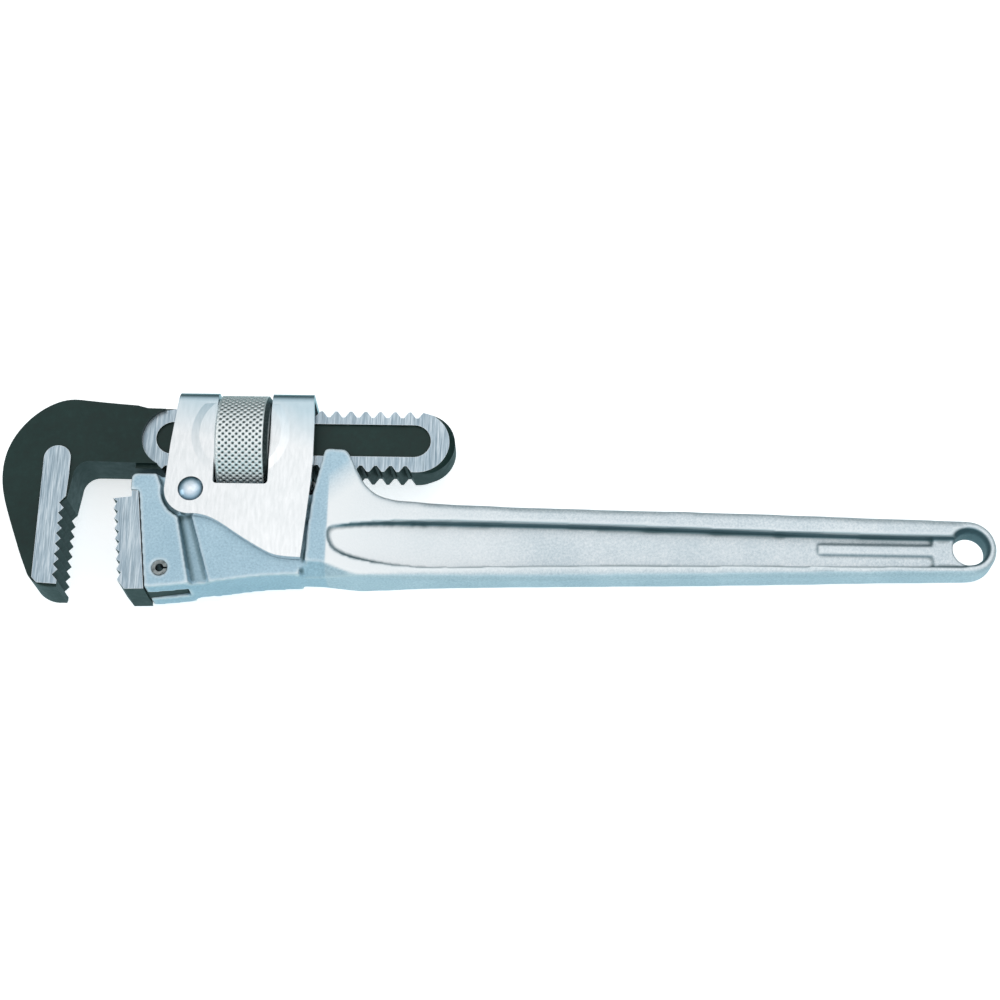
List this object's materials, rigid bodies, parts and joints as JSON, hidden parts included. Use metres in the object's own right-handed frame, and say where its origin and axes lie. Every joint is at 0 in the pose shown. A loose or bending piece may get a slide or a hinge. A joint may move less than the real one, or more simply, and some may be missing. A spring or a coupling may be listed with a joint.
{
  "type": "pipe wrench",
  "caption": "Adjustable pipe wrench with a toothed hook jaw, a knurled nut in a bent-sheet frame, an inserted heel jaw and a cast aluminium handle.",
  "frame": {"origin": "centre of the hanging hole, half-way through the handle's thickness", "axes": "+X along the wrench from the jaws towards the handle's end (so the jaws are at -X), +Y across it towards the top of the adjusting nut, +Z the thickness direction, along the hanging hole's axis"},
  "size_m": [0.3232, 0.07, 0.0336],
  "materials": {
    "cast_aluminium": "blasted casting",
    "ground_steel": "ground",
    "spring_steel": "plain",
    "plated_rivet": "plated",
    "plated_sheet": "bright plated",
    "black_forging": "oil blackened, semi matt",
    "knurled_steel": "plated knurl"
  },
  "bodies": {
    "handle": {"handle": "cast_aluminium", "heel_jaw": "ground_steel", "heel_jaw_pin": "spring_steel", "frame_rivet": "plated_rivet", "leaf_spring": "spring_steel", "leaf_spring_rivet": "plated_rivet", "coil_spring": "spring_steel"},
    "frame": {"frame": "plated_sheet"},
    "hook_jaw": {"hook_jaw": "black_forging"},
    "nut": {"adjusting_nut": "knurled_steel"}
  },
  "joints": [
    {"name": "frame_rock", "type": "hinge", "parent": "handle", "child": "frame", "pos_m": [-0.2519, 0.0142, 0], "axis": [0, 0, 1], "range_deg": [-2.5, 1.2], "stiffness_Nm_per_rad": 20, "deforming": ["leaf_spring", "coil_spring"]},
    {"name": "jaw_slide", "type": "slide", "parent": "frame", "child": "hook_jaw", "axis": [-1, 0, 0], "range_m": [-0.0135, 0.036]},
    {"name": "nut_spin", "type": "hinge", "parent": "frame", "child": "nut", "pos_m": [-0.236, 0.0333, 0], "axis": [1, 0, 0], "range_deg": [-999, 2663]}
  ],
  "couplings": [
    {"joint": "nut_spin", "follows": "jaw_slide", "rad_per_m": 1290.2}
  ]
}
